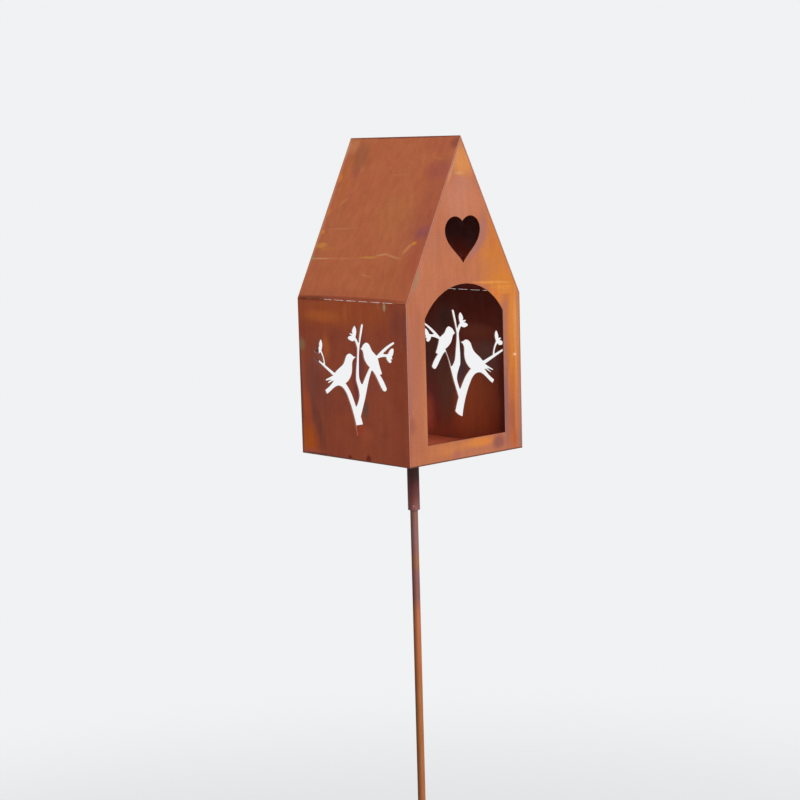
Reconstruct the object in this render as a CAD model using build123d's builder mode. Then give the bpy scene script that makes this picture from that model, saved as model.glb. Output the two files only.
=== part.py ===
from build123d import *
from math import atan2, cos, hypot, radians, sin, tan
import os

# Bird feeder on a ground stake, cut and folded from rusted sheet steel.
# Millimetres. Z up, front faces -Y, origin at the centre of the stake's foot at ground level.

# House
house_width = 180.0       # across the front, over the sheet
house_depth = 180.0       # front to back
wall_height = 180.0       # underside of the floor to the eave fold
ridge_height = 360.0      # underside of the floor to the ridge
sheet = 1.5               # walls, roof and gables
floor_sheet = 1.5
bend_inner = 0.6          # inside radius of the eave folds
fold_leg = 6.0            # flat strip on each side of a fold
gable_gap = 0.2           # between a gable and the folded sheet round it

# Doorway in each gable
door_frame = 28.25        # sheet left beside the doorway
door_sill = 21.5          # underside of the floor to the doorway
door_shoulder = 18.0      # spring of the arch below the eave
door_rise = 34.5          # spring to crown

# Heart over each doorway, sized by the field between the crown and the ridge
heart_share = 0.318       # its height in the field
heart_lift = 0.141        # sheet between the crown and its tip in the field
heart_aspect = 1.062      # width by height
heart_notch = 0.89        # tip to the notch, as a share of its height
heart_belly = 0.70        # tip to the widest part, as a share of its height
heart_lobe = 0.44         # middle to the top of a lobe, as a share of half its width

# Slots that weaken the sheet along each eave so that it folds by hand
slot_pitch = 20.0
slot_length = 17.0
slot_height = 0.75

# Birds on a branch, drawn on a card 140 by 127 and fitted to the wall
card_width = 140.0
card_height = 127.0
card_foot = 28.5          # sheet under the trunk
card_head = 24.5          # sheet from the top of the twig to the eave
card_side = 20.0          # least sheet beside the outer twigs

# Two islands of the right wall's sheet, pushed in about their bridges
upper_hinge = 127.5       # on the card, at the upper bird's beak
upper_bend = 10.5         # degrees
lower_hinge = 117.8       # on the card, at the lower bird's beak
lower_bend = 4.4          # degrees

# Stand
stand_height = 900.0      # ground to the underside of the floor
rod_diameter = 9.0
rod_chamfer = 0.6
rod_end_gap = 0.3         # rod to the underside of the floor
socket_wall = 2.0
socket_fit = 0.5          # between the rod and the bore of the socket
socket_length = 70.0

# Welds
ridge_bead = 3.0
socket_bead = 3.0
plug_diameter = 4.0
plug_lift = 5.0           # centre of the plug weld over the end of the socket
plug_crown = 0.6          # how far it stands proud of the socket
bead_swell = 0.6          # middle of a bead's face from its corner, as a share of its leg
tack_leg = 2.6
tack_length = 9.0
tack_places = (-8.0, 23.0)    # along each wall, forward of its middle
tack_spread = 0.3             # gable tacks, as a share of each edge from its middle
seat_gap = 0.1            # round pieces that lie against each other

# Worked out from the above
floor_top = stand_height + floor_sheet
eave_z = stand_height + wall_height
ridge_z = stand_height + ridge_height
half_width = house_width / 2
half_depth = house_depth / 2
bend_outer = bend_inner + sheet
slope = atan2(ridge_z - eave_z, half_width)
slope_length = hypot(half_width, ridge_z - eave_z)
eave_turn = radians(90) - slope
inner_peak_z = ridge_z - sheet / cos(slope)
socket_bore = rod_diameter / 2 + socket_fit
socket_radius = socket_bore + socket_wall


def on_slope(distance, depth=0.0):
    """A point of the left slope's section, measured up from the eave corner and in from its face."""
    x = -half_width + distance * cos(slope) + depth * sin(slope)
    z = eave_z + distance * sin(slope) - depth * cos(slope)
    return (x, z)


# Floor plate, under the walls and flush with them
with BuildPart() as floor_plate:
    with BuildSketch(Plane.XY.offset(stand_height)):
        Rectangle(house_width, house_depth)
    extrude(amount=floor_sheet)


# Birds on a branch, cut through both walls
card_scale = min(
    (wall_height - card_foot - card_head) / card_height,
    (house_depth - 2 * card_side) / card_width,
)


def spot(u, v):
    """A point of the card: u forward of the wall's middle, v over the underside of the floor."""
    return (u * card_scale, card_foot + (v - card_foot) * card_scale)


def outline(*runs):
    """A face on the card, closed by runs of points: straight between two, one smooth curve through more."""
    with BuildLine() as edges:
        for run in runs:
            points = [spot(u, v) for u, v in run]
            if len(points) == 2:
                Line(*points)
            else:
                Spline(*points)
    make_face(edges.edges())


with BuildSketch() as birds_on_branch:
    # Trunk, its two branches and the upright twig
    outline(
        [(5.1, 28.5), (12.8, 30.1), (18.2, 33.8)],
        [(18.2, 33.8), (15.5, 42), (12.2, 51)],
        [(12.2, 51), (14.8, 58), (19.5, 70), (23.5, 82), (27.5, 94), (35, 108.5)],
        [(35, 108.5), (31, 112)],
        [(31, 112), (26.9, 106), (21.4, 98), (15.4, 87.6)],
        [(15.4, 87.6), (11.7, 94), (11.3, 104), (12.9, 127), (16.8, 142), (20.1, 154.2)],
        [(20.1, 154.2), (18.2, 155.5), (15.6, 154)],
        [(15.6, 154), (12.4, 142), (11.1, 134)],
        [(11.1, 134), (8.2, 128)],
        [(8.2, 128), (7.6, 119), (6.1, 108), (5.0, 98), (4.9, 91)],
        [(4.9, 91), (8.3, 82), (9.6, 75), (7.2, 67), (4.5, 61.8)],
        [(4.5, 61.8), (0.7, 70), (-3.9, 78), (-12.3, 87.2), (-17, 91)],
        [(-17, 91), (-27, 83)],
        [(-27, 83), (-19.4, 82.1), (-14, 78), (-8.8, 70), (-4.9, 62), (-0.2, 50), (3.3, 38), (5.1, 28.5)],
    )
    # Lower bird, looking forward
    outline(
        [(6.5, 118.1), (3, 118.2), (0.5, 119.6), (-4.3, 120.9), (-10.2, 118.3), (-14.7, 110), (-24.9, 102),
         (-30.6, 97.4)],
        [(-30.6, 97.4), (-34.2, 93.9)],
        [(-34.2, 93.9), (-40.8, 91), (-46.9, 88.6)],
        [(-46.9, 88.6), (-46.3, 87.1)],
        [(-46.3, 87.1), (-37.2, 89.2)],
        [(-37.2, 89.2), (-43.6, 85.3)],
        [(-43.6, 85.3), (-42.3, 84.4)],
        [(-42.3, 84.4), (-33.2, 88.2)],
        [(-33.2, 88.2), (-39.2, 82.3), (-48.3, 76.5)],
        [(-48.3, 76.5), (-45.4, 71.9)],
        [(-45.4, 71.9), (-35.3, 78), (-30.5, 81.1), (-22, 83.6)],
        [(-22, 83.6), (-15, 85.6)],
        [(-15, 85.6), (-6.4, 90.6), (-1.2, 98.4), (0.1, 106), (0.8, 112), (2.8, 115.1), (6.5, 117.5)],
        [(6.5, 117.5), (6.5, 118.1)],
    )
    # Upper bird, looking back
    outline(
        [(13.9, 127.8), (15.6, 128.7), (17.2, 131), (20.5, 133.7), (24.6, 134.9), (28.9, 133.4), (31.3, 130.3),
         (33.2, 127.2), (36.7, 124.2), (41, 121)],
        [(41, 121), (43.2, 118)],
        [(43.2, 118), (45.6, 110), (49, 102.5)],
        [(49, 102.5), (48.8, 101.5)],
        [(48.8, 101.5), (45.4, 100.4)],
        [(45.4, 100.4), (51.1, 94), (56.1, 85.4)],
        [(56.1, 85.4), (54.4, 82.9), (51.4, 82.2), (48.6, 83)],
        [(48.6, 83), (41, 93.5), (34.6, 102), (31, 105)],
        [(31, 105), (29.5, 106.8)],
        [(29.5, 106.8), (23.4, 111), (18.6, 118.8), (17.2, 124.8), (13.9, 127.3)],
        [(13.9, 127.3), (13.9, 127.8)],
    )
    # Twig and leaves behind the lower bird
    outline(
        [(-27.8, 96.1), (-64, 114.3)],
        [(-64, 114.3), (-64.7, 111.9)],
        [(-64.7, 111.9), (-30.2, 91.9)],
        [(-30.2, 91.9), (-27.8, 96.1)],
    )
    outline(
        [(-45.7, 104), (-46.8, 111), (-51.5, 121.8)],
        [(-51.5, 121.8), (-49.7, 127.2), (-50.4, 132), (-52.5, 134.4), (-55.2, 132), (-55.8, 125.8)],
        [(-55.8, 125.8), (-61.1, 126.3)],
        [(-61.1, 126.3), (-58.4, 123.1)],
        [(-58.4, 123.1), (-62.2, 122.5), (-64.3, 120.5), (-61.2, 118.1), (-54.6, 119.2)],
        [(-54.6, 119.2), (-50.5, 112), (-49.6, 105)],
        [(-49.6, 105), (-45.7, 104)],
    )
    # Leaves off the upright twig
    outline(
        [(11.8, 131), (10.7, 135), (7, 139.8)],
        [(7, 139.8), (8.6, 144.5), (8.2, 150), (5.9, 152.6), (2.6, 150.8), (1.4, 143.4)],
        [(1.4, 143.4), (-3.8, 144.3)],
        [(-3.8, 144.3), (-4.1, 143.2)],
        [(-4.1, 143.2), (-0.3, 140.8)],
        [(-0.3, 140.8), (-4, 140.6), (-7.1, 138.4), (-3.4, 135.9), (1, 135), (4.4, 136)],
        [(4.4, 136), (7, 131), (8.7, 126)],
        [(8.7, 126), (11.8, 131)],
    )
    # Twig and leaves in front of the upper bird
    outline(
        [(37, 118.5), (41, 122), (46.1, 126), (58.8, 134), (66.6, 137.6)],
        [(66.6, 137.6), (69.2, 138.1), (70, 136.3)],
        [(70, 136.3), (59.6, 130.2), (51.3, 124.2)],
        [(51.3, 124.2), (55, 123.8), (58.2, 124.1)],
        [(58.2, 124.1), (60.8, 128), (64.2, 130.4), (68.3, 130.6), (68.6, 127), (65.5, 121.9)],
        [(65.5, 121.9), (66.5, 119.1)],
        [(66.5, 119.1), (63.6, 118.6)],
        [(63.6, 118.6), (64.6, 115.6), (62.2, 114.4), (58.3, 115.8), (55.3, 120.9)],
        [(55.3, 120.9), (50, 120.4), (42.7, 118.3)],
        [(42.7, 118.3), (37, 118.5)],
    )


# Islands of sheet between the branches, each hung from a narrow bridge at a beak
island_outlines = {
    # Between the upright twig, the upper bird and its branch
    "upper": (upper_hinge, upper_bend, [
        (10.5, upper_hinge), (15, upper_hinge), (18.6, 124.8), (20, 118.8), (25, 112), (31, 108.5),
        (27, 101), (21, 90), (14, 84), (9, 92), (8.7, 104), (10, 116),
    ]),
    # Between the trunk, the lower bird and its branch
    "lower": (lower_hinge, lower_bend, [
        (5.8, lower_hinge), (9.5, lower_hinge), (9.5, 110), (8, 98), (8, 92), (12, 82), (13, 75), (11, 67),
        (5.5, 58), (1.5, 58), (-4, 70), (-9, 78), (-15, 86.5), (-8, 91), (-3, 98.4), (-2, 106), (-1, 113),
        (2, 116.5),
    ]),
}
islands = []
for hinge, bend, corners in island_outlines.values():
    with BuildSketch() as island:
        with BuildLine():
            Polyline(*[spot(u, v) for u, v in corners], close=True)
        make_face()
        add(birds_on_branch.sketch_local, mode=Mode.SUBTRACT)
    islands.append((spot(0, hinge)[1], bend, island.sketch_local))


wall_planes = {
    "left_wall": Plane(origin=(-half_width, 0, stand_height), x_dir=(0, -1, 0), z_dir=(-1, 0, 0)),
    "right_wall": Plane(origin=(half_width, 0, stand_height), x_dir=(0, 1, 0), z_dir=(1, 0, 0)),
}
walls = []
for name, outer_face in wall_planes.items():
    with BuildPart() as wall:
        with BuildSketch(outer_face):
            with Locations((0, floor_sheet)):
                Rectangle(house_depth, wall_height - fold_leg - floor_sheet, align=(Align.CENTER, Align.MIN))
            add(birds_on_branch.sketch_local, mode=Mode.SUBTRACT)
            if name == "right_wall":
                for hinge_height, bend, island in islands:
                    add(island, mode=Mode.SUBTRACT)
        extrude(amount=-sheet)
        if name == "right_wall":
            for hinge_height, bend, island in islands:
                with BuildPart(mode=Mode.PRIVATE) as bent:
                    with BuildSketch(outer_face):
                        add(island)
                    extrude(amount=-sheet)
                add(bent.part.rotate(Axis((half_width, 0, stand_height + hinge_height), (0, 1, 0)), bend))
    wall.part.label = name
    walls.append(wall.part)


# Eave folds, with the row of slots along the bend
slot_count = int(house_depth / slot_pitch)
slot_face = Plane(origin=(-half_width, 0, eave_z), x_dir=(0, -1, 0), z_dir=(-1, 0, 0))

with BuildPart() as left_eave_fold:
    with BuildSketch(Plane.XZ):
        with BuildLine():
            FilletPolyline((-half_width, eave_z - fold_leg), (-half_width, eave_z), on_slope(fold_leg),
                           radius=bend_outer)
            FilletPolyline((-half_width + sheet, eave_z - fold_leg),
                           (-half_width + sheet, eave_z - sheet * tan(eave_turn / 2)),
                           on_slope(fold_leg, sheet), radius=bend_inner)
            Line((-half_width, eave_z - fold_leg), (-half_width + sheet, eave_z - fold_leg))
            Line(on_slope(fold_leg), on_slope(fold_leg, sheet))
        make_face()
    extrude(amount=half_depth, both=True)
    with BuildSketch(slot_face):
        with GridLocations(slot_pitch, slot_pitch, slot_count, 1):
            Rectangle(slot_length, slot_height)
    extrude(amount=2 * sheet, both=True, mode=Mode.SUBTRACT)

with BuildPart() as right_eave_fold:
    mirror(left_eave_fold.part, about=Plane.YZ)


# Roof slopes, flat sheet from the eave folds to the ridge, mitred against each other
with BuildPart() as left_roof_slope:
    with BuildSketch(Plane.XZ):
        with BuildLine():
            Polyline(on_slope(fold_leg), (0, ridge_z), (0, inner_peak_z), on_slope(fold_leg, sheet),
                     close=True)
        make_face()
    extrude(amount=half_depth, both=True)

with BuildPart() as right_roof_slope:
    mirror(left_roof_slope.part, about=Plane.YZ)


# Ridge weld, a bead along the inside of the mitre between the gables
with BuildPart() as ridge_weld:
    with BuildSketch(Plane.XZ):
        with BuildLine():
            bead_half = ridge_bead * cos(slope)
            bead_z = inner_peak_z - ridge_bead * sin(slope)
            Polyline((-bead_half, bead_z), (0, inner_peak_z), (bead_half, bead_z), close=True)
        make_face()
    extrude(amount=half_depth - sheet - gable_gap, both=True)


# Gables, set between the walls and under the roof, flush with the front and back edges
door_half = half_width - door_frame
door_spring_z = eave_z - door_shoulder
door_crown_z = door_spring_z + door_rise
heart_field = ridge_z - door_crown_z
heart_height = heart_share * heart_field
heart_half = heart_aspect * heart_height / 2
heart_tip_z = door_crown_z + heart_lift * heart_field
heart_belly_z = heart_tip_z + heart_belly * heart_height
heart_side = [(0.884, 0.5), (0.59, 0.313), (0.243, 0.146)]    # shares of half its width and of its height

gable_half = half_width - sheet - gable_gap
gable_eave_z = eave_z - (sheet + gable_gap) * tan(eave_turn / 2)
gable_peak_z = ridge_z - (sheet + gable_gap) / cos(slope)

gable_planes = {"front_gable": -half_depth, "back_gable": half_depth - sheet}
gables = []
for name, front_y in gable_planes.items():
    with BuildPart() as gable:
        with BuildSketch(Plane.XZ.offset(-front_y)):
            with BuildLine():
                Polyline((-gable_half, floor_top), (-gable_half, gable_eave_z), (0, gable_peak_z),
                         (gable_half, gable_eave_z), (gable_half, floor_top), close=True)
            make_face()
            with BuildLine():
                ThreePointArc((-door_half, door_spring_z), (0, door_crown_z), (door_half, door_spring_z))
                Polyline((-door_half, door_spring_z), (-door_half, stand_height + door_sill),
                         (door_half, stand_height + door_sill), (door_half, door_spring_z))
            make_face(mode=Mode.SUBTRACT)
            with BuildLine():
                for side in (-1, 1):
                    widest = (side * heart_half, heart_belly_z)
                    ThreePointArc((0, heart_tip_z + heart_notch * heart_height),
                                  (side * heart_lobe * heart_half, heart_tip_z + heart_height), widest)
                    Spline(widest, *[(side * across * heart_half, heart_tip_z + up * heart_height)
                                     for across, up in heart_side], (0, heart_tip_z))
            make_face(mode=Mode.SUBTRACT)
        extrude(amount=-sheet)
    gable.part.label = name
    gables.append(gable.part)


# Socket tube under the floor, with the hole for its plug weld on the front left side
plug_turn = -135.0
plug_z = stand_height - socket_length + plug_lift
plug_plane = Plane(
    origin=(0, 0, plug_z),
    x_dir=(-sin(radians(plug_turn)), cos(radians(plug_turn)), 0),
    z_dir=(cos(radians(plug_turn)), sin(radians(plug_turn)), 0),
)

with BuildPart() as socket_tube:
    with BuildSketch(Plane.XY.offset(stand_height - socket_length)):
        Circle(socket_radius)
        Circle(socket_bore, mode=Mode.SUBTRACT)
    extrude(amount=socket_length)
    with BuildSketch(plug_plane):
        Circle(plug_diameter / 2 + seat_gap)
    extrude(amount=2 * socket_radius, mode=Mode.SUBTRACT)


# Fillet weld round the top of the socket
with BuildPart() as socket_weld:
    with BuildSketch(Plane.XZ):
        with BuildLine():
            bead_root = socket_radius + seat_gap
            swell = bead_swell * socket_bead
            Polyline((bead_root, stand_height - socket_bead), (bead_root, stand_height),
                     (bead_root + socket_bead, stand_height), (bead_root + swell, stand_height - swell),
                     close=True)
        make_face()
    revolve(axis=Axis.Z)


# Plug weld that holds the rod in the socket, a low button in the hole
with BuildPart() as plug_weld:
    with BuildSketch(plug_plane.offset(rod_diameter / 2 + seat_gap)):
        Circle(plug_diameter / 2)
    extrude(amount=socket_radius + plug_crown - rod_diameter / 2 - seat_gap)
    chamfer(plug_weld.faces().sort_by(SortBy.DISTANCE)[-1].edges(), length=plug_crown)


# Stake rod, from the ground up into the socket
with BuildPart() as stake_rod:
    with BuildSketch(Plane.XY):
        Circle(rod_diameter / 2)
    extrude(amount=stand_height - rod_end_gap)
    chamfer(stake_rod.faces().sort_by(Axis.Z)[-1].edges(), length=rod_chamfer)


def tack(corner, along, inward):
    """A short bead in a square corner: its two flat sides lie on the sheets that it joins."""
    with BuildSketch(Plane(origin=corner, x_dir=inward, z_dir=along)) as bead:
        with BuildLine():
            swell = bead_swell * tack_leg
            Polyline((0, tack_leg), (0, 0), (tack_leg, 0), (swell, swell), close=True)
        make_face()
    extrude(bead.sketch, amount=tack_length / 2, both=True)


# Tack welds between the walls and the floor, inside
with BuildPart() as left_floor_tacks:
    for place in tack_places:
        tack((-half_width + sheet, -place, floor_top), (0, -1, 0), (1, 0, 0))

with BuildPart() as right_floor_tacks:
    for place in tack_places:
        tack((half_width - sheet, place, floor_top), (0, 1, 0), (-1, 0, 0))


# Tack welds that hold each gable to the walls, to the floor and to the roof, inside
slope_tack = slope_length / 2
slope_span = slope_length - 2 * fold_leg
tack_sets = {}
for end, y, inward in (("front", -half_depth + sheet, 1), ("back", half_depth - sheet, -1)):
    with BuildPart() as wall_tacks:
        for side in (-1, 1):
            for share in (-tack_spread, tack_spread):
                height = floor_top + (wall_height - floor_sheet) * (0.5 + share)
                tack((side * (half_width - sheet), y, height), (0, 0, side * -inward), (side * -1.0, 0, 0))
    with BuildPart() as sill_tacks:
        for share in (-tack_spread, tack_spread):
            tack((house_width * share, y, floor_top), (inward, 0, 0), (0, inward, 0))
    with BuildPart() as roof_tacks:
        for side in (-1, 1):
            for share in (-tack_spread, tack_spread):
                x, z = on_slope(slope_tack + slope_span * share, sheet)
                along = (-side * cos(slope), 0, sin(slope))
                tack((-side * x, y, z), tuple(inward * side * c for c in along), (0, inward, 0))
    tack_sets[f"{end}_wall_tacks"] = wall_tacks.part
    tack_sets[f"{end}_sill_tacks"] = sill_tacks.part
    tack_sets[f"{end}_roof_tacks"] = roof_tacks.part

pieces = {
    "floor_plate": floor_plate.part,
    "left_eave_fold": left_eave_fold.part,
    "right_eave_fold": right_eave_fold.part,
    "left_roof_slope": left_roof_slope.part,
    "right_roof_slope": right_roof_slope.part,
    "ridge_weld": ridge_weld.part,
    "socket_tube": socket_tube.part,
    "socket_weld": socket_weld.part,
    "plug_weld": plug_weld.part,
    "stake_rod": stake_rod.part,
    "left_floor_tacks": left_floor_tacks.part,
    "right_floor_tacks": right_floor_tacks.part,
    **tack_sets,
}
for name, piece in pieces.items():
    piece.label = name

os.makedirs("parts", exist_ok=True)
for piece in [*walls, *gables, *pieces.values()]:
    export_step(piece, f"parts/{piece.label}.step")
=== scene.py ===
from math import atan2, cos, degrees, hypot, pi, radians, sin

import bpy
from mathutils import Matrix, Vector


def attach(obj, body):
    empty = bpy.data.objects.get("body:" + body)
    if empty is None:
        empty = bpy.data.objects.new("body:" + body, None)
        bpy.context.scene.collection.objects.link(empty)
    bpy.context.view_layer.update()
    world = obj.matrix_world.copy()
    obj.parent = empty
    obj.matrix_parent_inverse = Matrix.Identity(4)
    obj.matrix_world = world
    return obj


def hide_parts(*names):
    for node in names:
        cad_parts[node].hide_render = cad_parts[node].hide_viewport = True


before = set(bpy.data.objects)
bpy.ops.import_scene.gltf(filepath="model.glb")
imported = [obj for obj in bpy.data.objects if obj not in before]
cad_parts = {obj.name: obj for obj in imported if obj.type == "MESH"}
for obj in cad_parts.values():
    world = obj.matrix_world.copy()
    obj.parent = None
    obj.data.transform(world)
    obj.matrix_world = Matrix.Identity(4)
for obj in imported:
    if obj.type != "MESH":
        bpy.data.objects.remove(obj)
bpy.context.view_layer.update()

# Camera
# A long lens a little over two metres in front of the left corner and level with the ridge.
# It looks down a little, at the left side and the front together.
camera = bpy.data.cameras.new("camera")
camera.sensor_width = 36.0
camera.lens = 87.93
viewpoint = bpy.data.objects.new("camera", camera)
bpy.context.scene.collection.objects.link(viewpoint)
standpoint = Matrix.Translation((-1.5420, -1.6198, 1.2621))
heading = Matrix.Rotation(radians(-43.262), 4, "Z")
tilt = Matrix.Rotation(radians(90 - 7.721), 4, "X")
roll = Matrix.Rotation(radians(-1.578), 4, "Z")
viewpoint.matrix_world = standpoint @ heading @ tilt @ roll
bpy.context.scene.camera = viewpoint


# Floor plate
# A square of 1.5 mm weathering steel under the house, with the walls standing on it.
# It was left outdoors to rust, so it is matt, and mottled from orange to purple brown.
house_base = 0.9                # underside of the floor over the ground, metres
floor_edge = "#80503F"          # its laser-cut edge
patch_size = 46                 # broad patches of rust, mm
fleck_size = 9                  # flecks of another tone in them, mm
drift_size = 28                 # bends in the outline of a mark, mm
pit_size = 14                   # shallow dips in the rust, mm
stripe_width = 7                # faint stripes that rain leaves as it runs down, mm
grain_size = 1.6                # rust grain, mm: a few tenths on the real one, too fine to show


def linear(colour):
    """An sRGB hex colour as linear red, green, blue and alpha."""
    parts = [int(colour[i:i + 2], 16) / 255 for i in (1, 3, 5)]
    return [c / 12.92 if c <= 0.04045 else ((c + 0.055) / 1.055) ** 2.4 for c in parts] + [1.0]


def add(tree, kind, inputs=None, **settings):
    """Adds one shader node. An input is a value, or the output that feeds it.

    Inputs go by name or by number: 6 and 7 are the two colours of a Mix node.
    """
    made = tree.nodes.new("ShaderNode" + kind)
    for name, value in settings.items():
        setattr(made, name, value)
    for key, value in (inputs or {}).items():
        if isinstance(value, bpy.types.NodeSocket):
            tree.links.new(value, made.inputs[key])
        else:
            made.inputs[key].default_value = value
    return made


def lay_flat(tree, origin, across, up):
    """Millimetres across a sheet and up it from an origin in metres, and how far it faces outwards."""
    out = Vector(across).cross(Vector(up))
    turn = Matrix((across, up, out))
    where = add(tree, "TexCoord")
    flat = add(tree, "Mapping", {"Vector": where.outputs["Object"], "Rotation": turn.to_euler(),
                                 "Location": -1000 * (turn @ Vector(origin)), "Scale": (1000, 1000, 1000)})
    facing = add(tree, "VectorMath", {0: where.outputs["Normal"], 1: out}, operation="DOT_PRODUCT")
    return flat.outputs[0], facing.outputs["Value"]


def lay_mark(tree, colour, flat, drift, mark):
    """Lays a patch of another rust colour over a colour: an oval with a soft, wandering outline."""
    x, y, half_long, half_wide, turn, tone, strength, softness = mark
    roam = 0.5 * min(half_long, half_wide) + 0.8
    wander = add(tree, "VectorMath", {0: drift, 1: (roam, roam, 0), 2: flat}, operation="MULTIPLY_ADD")
    oval = add(tree, "Mapping", {"Vector": wander.outputs[0], "Location": (x, y, 0),
                                 "Rotation": (0, 0, radians(turn)), "Scale": (half_long, half_wide, 1e5)},
               vector_type="TEXTURE")
    reach = add(tree, "VectorMath", {0: oval.outputs[0]}, operation="LENGTH")
    cover = add(tree, "MapRange", {"Value": reach.outputs["Value"], "From Min": 1 - softness,
                                   "From Max": 1 + softness, "To Min": strength, "To Max": 0.0},
                interpolation_type="SMOOTHSTEP")
    marked = add(tree, "Mix", {"Factor": cover.outputs[0], 6: colour, 7: linear(tone)}, data_type="RGBA")
    return marked.outputs[2]


def rust_face(tree, face, edge_tone):
    """The colour of one rusted sheet: mottled tones, its own marks, its inner side and its cut edge."""
    flat, facing = lay_flat(tree, *face["lie"])
    swirl = add(tree, "TexNoise", {"Vector": flat, "Scale": 1 / drift_size, "Detail": 3.0, "Roughness": 0.6})
    drift = add(tree, "VectorMath", {0: swirl.outputs["Color"], 1: (0.5, 0.5, 0.5)},
                operation="SUBTRACT").outputs[0]
    cloud = add(tree, "TexNoise", {"Vector": flat, "Scale": 1 / patch_size, "Detail": 3.0, "Roughness": 0.55,
                                   "Distortion": 0.6})
    broad = add(tree, "MapRange", {"Value": cloud.outputs[0], "From Min": 0.36, "From Max": 0.64},
                interpolation_type="SMOOTHSTEP").outputs[0]
    mottle = add(tree, "TexNoise", {"Vector": flat, "Scale": 1 / fleck_size, "Detail": 5.0, "Roughness": 0.6})
    spots = add(tree, "MapRange", {"Value": mottle.outputs[0], "From Min": 0.48, "From Max": 0.72,
                                   "To Max": 0.5}, interpolation_type="SMOOTHSTEP").outputs[0]
    sides = []
    for tones, marks in ((face["tones"], face["marks"]), (face["inner_tones"], face.get("inner_marks", []))):
        base, other, fleck = (linear(tone) for tone in tones)
        side = add(tree, "Mix", {"Factor": broad, 6: base, 7: other}, data_type="RGBA").outputs[2]
        side = add(tree, "Mix", {"Factor": spots, 6: side, 7: fleck}, data_type="RGBA").outputs[2]
        for mark in marks:
            side = lay_mark(tree, side, flat, drift, mark)
        sides.append(side)
    inwards = add(tree, "MapRange", {"Value": facing, "From Min": 0.1, "From Max": -0.1}).outputs[0]
    colour = add(tree, "Mix", {"Factor": inwards, 6: sides[0], 7: sides[1]}, data_type="RGBA").outputs[2]
    flatness = add(tree, "Math", {0: facing}, operation="ABSOLUTE").outputs[0]
    edge = add(tree, "MapRange", {"Value": flatness, "From Min": 0.6, "From Max": 0.4}).outputs[0]
    return add(tree, "Mix", {"Factor": edge, 6: colour, 7: linear(edge_tone)}, data_type="RGBA").outputs[2]


def rusted(name, faces, edge_tone, split_z=None):
    """Rusted sheet steel: one face, or a second one above a height. Matt, pitted and a little uneven."""
    finish = bpy.data.materials.new(name)
    finish.use_nodes = True
    tree = finish.node_tree
    shader = tree.nodes["Principled BSDF"]
    place = add(tree, "TexCoord").outputs["Object"]
    colour = rust_face(tree, faces[0], edge_tone)
    if split_z is not None:
        height = add(tree, "SeparateXYZ", {0: place}).outputs["Z"]
        above = add(tree, "MapRange", {"Value": height, "From Min": split_z - 0.0004,
                                       "From Max": split_z + 0.0004})
        colour = add(tree, "Mix", {"Factor": above.outputs[0], 6: colour,
                                   7: rust_face(tree, faces[1], edge_tone)}, data_type="RGBA").outputs[2]
    grain = add(tree, "TexNoise", {"Vector": place, "Scale": 1000 / grain_size, "Detail": 3.0,
                                   "Roughness": 0.7}).outputs[0]
    pits = add(tree, "TexNoise", {"Vector": place, "Scale": 1000 / pit_size, "Detail": 4.0,
                                  "Roughness": 0.6}).outputs[0]
    stretched = add(tree, "Mapping", {"Vector": place, "Scale": (1, 1, 0.14)}).outputs[0]
    runs = add(tree, "TexNoise", {"Vector": stretched, "Scale": 1000 / stripe_width,
                                  "Detail": 2.0}).outputs[0]
    for pattern, swing in ((grain, 0.09), (runs, 0.06)):
        shade = add(tree, "MapRange", {"Value": pattern, "From Min": 0.3, "From Max": 0.7,
                                       "To Min": 1 - swing, "To Max": 1 + swing}).outputs[0]
        colour = add(tree, "VectorMath", {0: colour, 1: shade}, operation="MULTIPLY").outputs[0]
    tree.links.new(colour, shader.inputs["Base Color"])
    rough = add(tree, "MapRange", {"Value": pits, "From Min": 0.3, "From Max": 0.7, "To Min": 0.5,
                                   "To Max": 0.74})
    tree.links.new(rough.outputs[0], shader.inputs["Roughness"])
    shader.inputs["Specular IOR Level"].default_value = 0.12
    bump_grain = add(tree, "Bump", {"Height": grain, "Strength": 0.35, "Distance": 0.00012})
    bump_pits = add(tree, "Bump", {"Height": pits, "Strength": 0.22, "Distance": 0.0012,
                                   "Normal": bump_grain.outputs[0]})
    tree.links.new(bump_pits.outputs[0], shader.inputs["Normal"])
    return finish


def dress(name, finish):
    """Gives a CAD node its finish."""
    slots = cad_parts[name].data.materials
    slots.clear()
    slots.append(finish)


# A face is how a sheet lies, three tones (its own, its patches and its flecks) and its marks, for its
# outer side and its inner one. It lies from a zero point, across and up. A mark is where its middle is
# across and up, half its length and half its width, all in mm, its turn in degrees, its tone, how strong
# it is and how soft its outline. This one's outer side is the underside, and birds stand on its inner one.
floor_face = {
    "lie": ((0, 0, house_base), (1, 0, 0), (0, -1, 0)),
    "tones": ("#A8583A", "#9A4C34", "#8A4238"),
    "marks": [
        (-50, 40, 30, 22, 20, "#B4683C", 0.7, 0.6),
        (40, -30, 34, 26, -15, "#8A4A3C", 0.7, 0.6),
        (0, 0, 15, 15, 0, "#6A3A34", 0.8, 0.5),
    ],
    "inner_tones": ("#C85D40", "#BD583B", "#B24E3B"),
    "inner_marks": [
        (46, -16, 26, 20, 0, "#CE6446", 0.8, 0.7),
        (-8, 3, 7, 5, 0, "#4A2422", 0.8, 0.5),
    ],
}
dress("floor_plate", rusted("rusted_floor_sheet", [floor_face], floor_edge))


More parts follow.
